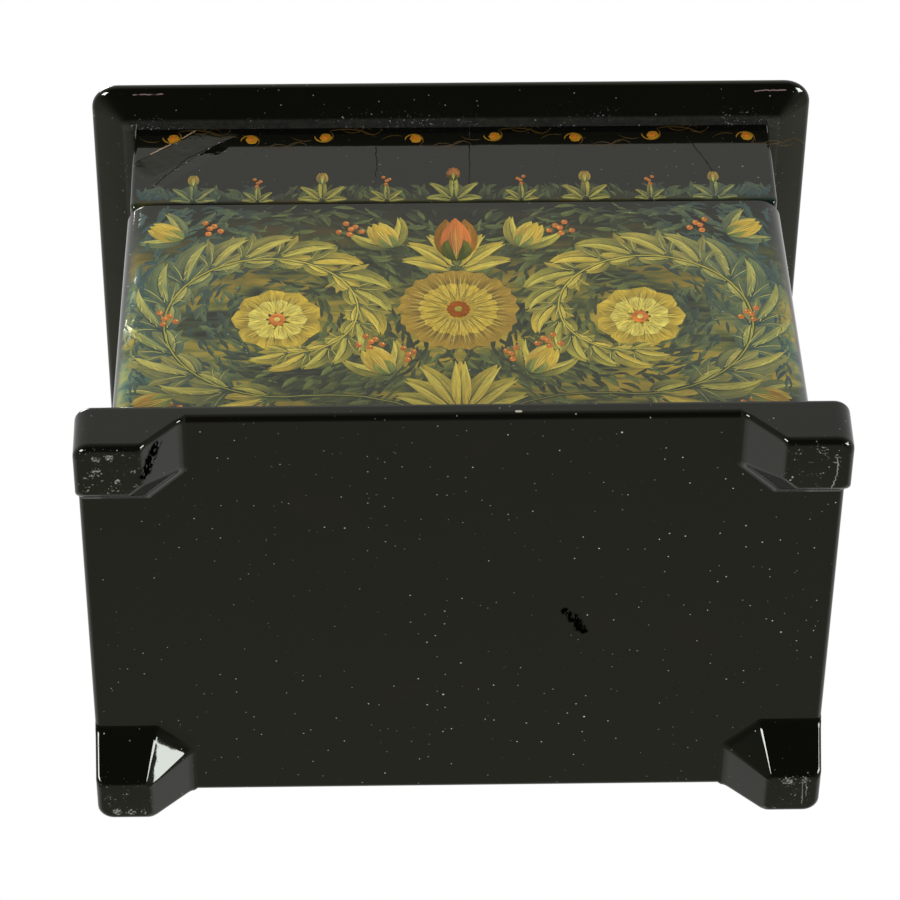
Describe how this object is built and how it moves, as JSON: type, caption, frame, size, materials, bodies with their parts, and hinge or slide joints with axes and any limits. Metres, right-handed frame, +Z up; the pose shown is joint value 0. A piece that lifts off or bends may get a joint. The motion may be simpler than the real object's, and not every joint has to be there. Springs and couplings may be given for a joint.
{
  "type": "lacquered papier-mache casket",
  "caption": "Rectangular lacquered casket with a hinged, overhanging lid, a red lined hollow, a painted floral front and bevelled corner feet.",
  "frame": {"origin": "on the floor under the middle of the casket, at the height of the soles", "axes": "+Z up, painted front faces -Y, +X to the right as seen from the front"},
  "size_m": [0.1414, 0.1018, 0.1054],
  "materials": {
    "black_lacquer": "gloss",
    "painted_lacquer": "gloss",
    "red_lacquer": "gloss",
    "brass": "satin"
  },
  "bodies": {
    "case": {"base_plate": "black_lacquer", "foot_front_left": "black_lacquer", "foot_front_right": "black_lacquer", "foot_rear_left": "black_lacquer", "foot_rear_right": "black_lacquer", "body_shell": "painted_lacquer", "inner_lining": "red_lacquer", "hinge_left_body_leaf": "brass", "hinge_right_body_leaf": "brass", "hinge_left_pin": "brass", "hinge_right_pin": "brass", "body_nails": "brass"},
    "lid": {"rim_front": "painted_lacquer", "rim_rear": "black_lacquer", "rim_left": "black_lacquer", "rim_right": "black_lacquer", "lid_board": "black_lacquer", "hinge_left_lid_leaf": "brass", "hinge_right_lid_leaf": "brass", "lid_nails": "brass"}
  },
  "joints": [
    {"name": "lid_hinge", "type": "hinge", "parent": "case", "child": "lid", "pos_m": [0, 0.04185, 0.07475], "axis": [-1, 0, 0], "range_deg": [0, 100]}
  ]
}
